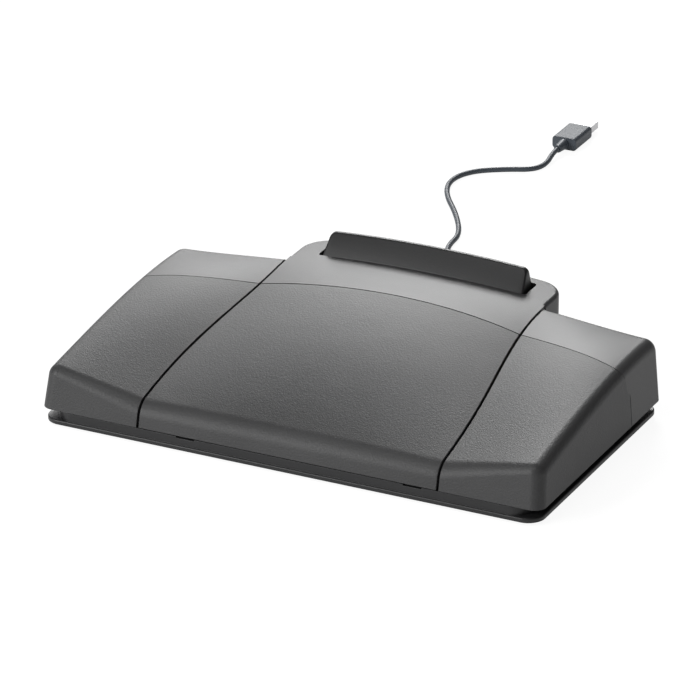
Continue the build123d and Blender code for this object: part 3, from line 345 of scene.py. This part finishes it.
# Circuit board. A green board across the middle carries one chip, four magnetic
# sensors and the header for the cord.
board_green = moulded(
    "board_green", (0.010, 0.070, 0.030), (0.014, 0.090, 0.040), 0.3, 0.0020, 0.00001,
)
chip_black = moulded(
    "chip_black", (0.015, 0.015, 0.016), (0.022, 0.022, 0.023), 0.5, 0.0005, 0.00001,
)
header_white = moulded(
    "header_nylon", (0.62, 0.60, 0.54), (0.70, 0.68, 0.62), 0.45, 0.0008, 0.00001,
)
paint("circuit_board", board_green)
paint("board_chip", chip_black)
paint("hall_sensors", chip_black)
paint("board_header", header_white)

# Pedal works. Turned steel pins and shoulder screws, nickel-plated magnets, coiled
# springs of hard-drawn wire, and rubber bumpers.
turned_steel = moulded(
    "turned_steel", (0.45, 0.45, 0.46), (0.55, 0.55, 0.56), 0.25, 0.0005, 0.000005, metallic=1.0,
)
nickel = moulded(
    "nickel", (0.60, 0.58, 0.54), (0.66, 0.64, 0.60), 0.15, 0.0006, 0.000003, metallic=1.0,
)
spring_wire = moulded(
    "spring_wire", (0.30, 0.30, 0.31), (0.40, 0.40, 0.41), 0.3, 0.0003, 0.000006, metallic=1.0,
)
for side, plural in (("left", ""), ("centre", "s"), ("right", "")):
    paint(f"{side}_hinge_pins", turned_steel)
    paint(f"{side}_stop_screw{plural}", turned_steel)
    paint(f"{side}_magnet", nickel)
    spring = refined(
        f"{side}_return_spring{plural}", f"{side}_coiled_spring{plural}", f"{side}_pedal",
        spring_wire, turn=60,
    )
    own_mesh(spring)
paint("travel_bumpers", soft_black)

# Front panels. The large treads of the three pedals, moulded with a fine matt grain in
# dark grey plastic, with small soft edges along the seams.
tread = moulded(
    "grained_tread", (0.036, 0.036, 0.037), (0.054, 0.054, 0.055), 0.50, 0.0009, 0.00009,
)
seam_edge = 0.0004
for side in ("left", "centre", "right"):
    refined(
        f"{side}_front_panel", f"{side}_tread", f"{side}_pedal", tread,
        edge=seam_edge, held=side != "centre",
    )

# Rear panels. Smoother and a little lighter than the treads, and the centre one runs
# on over the tab and frames the slot for the bar.
smooth_top = moulded(
    "smooth_top", (0.046, 0.046, 0.047), (0.062, 0.062, 0.063), 0.46, 0.0006, 0.00003,
)
for side in ("left", "centre", "right"):
    refined(
        f"{side}_rear_panel", f"{side}_back_panel", f"{side}_pedal", smooth_top,
        edge=seam_edge, held=True,
    )

# Tilting bar. A soft rubber cap with a leaning front sits on a hard carrier, which
# turns on two steel pins against two small springs.
bar_rubber = moulded(
    "bar_rubber", (0.007, 0.007, 0.0075), (0.011, 0.011, 0.0115), 0.42, 0.0008, 0.00003,
)
bar_width, bar_foot, bar_rise, bar_lean = 0.1236, 0.0042, 0.0118, 0.0038
ridge_width_share, ridge_depth_share = 0.976, 0.2
end_corner = 0.0028
arch_above, arch_fall = 0.05, 0.609  # height where the arch starts, and its fall per metre squared
bar = block("bar_grip", (0, 0.07945, 0.0507), (bar_width, 0.0135, bar_foot))
pick_faces(bar, lambda normal: normal.z > 0.9)
bpy.ops.mesh.extrude_region_move(TRANSFORM_OT_translate={"value": (0, bar_lean, bar_rise)})
bpy.ops.transform.resize(value=(ridge_width_share, ridge_depth_share, 1))
pick_edges(bar, lambda middle, way: abs(way.x) > 0.08)
bpy.ops.mesh.subdivide(number_cuts=30)
pick_edges(
    bar,
    lambda middle, way: middle.z > 0.064 and abs(middle.x) > 0.059 and abs(way.x) < 0.001,
)
bpy.ops.mesh.bevel(offset=end_corner, segments=6, affect="EDGES")
bpy.ops.object.mode_set(mode="OBJECT")
for point in bar.data.vertices:
    if point.co.z > arch_above:
        point.co.z -= arch_fall * point.co.x ** 2
round_edges(bar, width=0.0011, segments=4, turn=28)
bpy.ops.object.shade_smooth_by_angle(angle=math.radians(30))
bar.data.materials.append(bar_rubber)
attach(bar, "tilting_bar")
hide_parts("bar_cap")
paint("bar_carrier", tray_plastic)
paint("bar_magnet", nickel)
paint("bar_pivot_pins", turned_steel)
bar_springs = refined(
    "bar_springs", "bar_coiled_springs", "centre_pedal", spring_wire, turn=60,
)
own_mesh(bar_springs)

# Floor. A wide white sheet that looks evenly white from the camera, keeps the object's
# shadow and shows at half strength in glossy surfaces.
floor_white, floor_glow, glow_share, mirrored_share = 0.9, 1.15, 0.80, 0.5
bpy.ops.object.select_all(action="DESELECT")
bpy.ops.mesh.primitive_plane_add(size=12, location=(0, 0, 0))
floor = bpy.context.object
floor.name = "floor"
floor_paint = bpy.data.materials.new("white_floor")
floor_paint.use_nodes = True
nodes, links = floor_paint.node_tree.nodes, floor_paint.node_tree.links
nodes.clear()
paint_out = nodes.new("ShaderNodeOutputMaterial")
paint_mix = nodes.new("ShaderNodeMixShader")
paint_matt = nodes.new("ShaderNodeBsdfDiffuse")
paint_glow = nodes.new("ShaderNodeEmission")
paint_ray = nodes.new("ShaderNodeLightPath")
paint_share = nodes.new("ShaderNodeMath")
paint_seen = nodes.new("ShaderNodeMath")
paint_matt.inputs["Color"].default_value = (floor_white, floor_white, floor_white, 1)
paint_glow.inputs["Strength"].default_value = floor_glow
paint_seen.operation = "MULTIPLY_ADD"
paint_seen.inputs[1].default_value = mirrored_share
paint_share.operation = "MULTIPLY"
paint_share.inputs[1].default_value = glow_share
links.new(paint_ray.outputs["Is Glossy Ray"], paint_seen.inputs[0])
links.new(paint_ray.outputs["Is Camera Ray"], paint_seen.inputs[2])
links.new(paint_seen.outputs[0], paint_share.inputs[0])
links.new(paint_share.outputs[0], paint_mix.inputs[0])
links.new(paint_matt.outputs[0], paint_mix.inputs[1])
links.new(paint_glow.outputs[0], paint_mix.inputs[2])
links.new(paint_mix.outputs[0], paint_out.inputs[0])
floor.data.materials.append(floor_paint)

# Sky and lamps. A dim white sky, two lamps behind the object for the long highlights, a
# broad one at its left front and a soft one above.
sky = bpy.data.worlds.new("sky")
sky.use_nodes = True
background = sky.node_tree.nodes["Background"]
background.inputs["Color"].default_value = (1, 1, 1, 1)
background.inputs["Strength"].default_value = 0.15
bpy.context.scene.world = sky
bpy.context.scene.view_settings.view_transform = "Standard"
lamp_aim = Vector((0, 0, 0.03))
for name, place, size, power in (
    ("back_lamp", (-0.9, 2.1, 1.5), (0.7, 0.5), 32),
    ("left_lamp", (-1.5, -2.0, 1.0), (1.2, 1.2), 42),
    ("top_lamp", (-0.4, -0.9, 2.4), (0.9, 0.9), 11),
    ("low_lamp", (-1.6, 2.0, 1.0), (1.1, 1.1), 12),
):
    lamp_data = bpy.data.lights.new(name, "AREA")
    lamp_data.shape = "RECTANGLE"
    lamp_data.size, lamp_data.size_y = size
    lamp_data.energy = power
    lamp = bpy.data.objects.new(name, lamp_data)
    lamp.location = place
    lamp.rotation_euler = (lamp_aim - Vector(place)).to_track_quat("-Z", "Y").to_euler()
    bpy.context.scene.collection.objects.link(lamp)

bpy.context.view_layer.update()
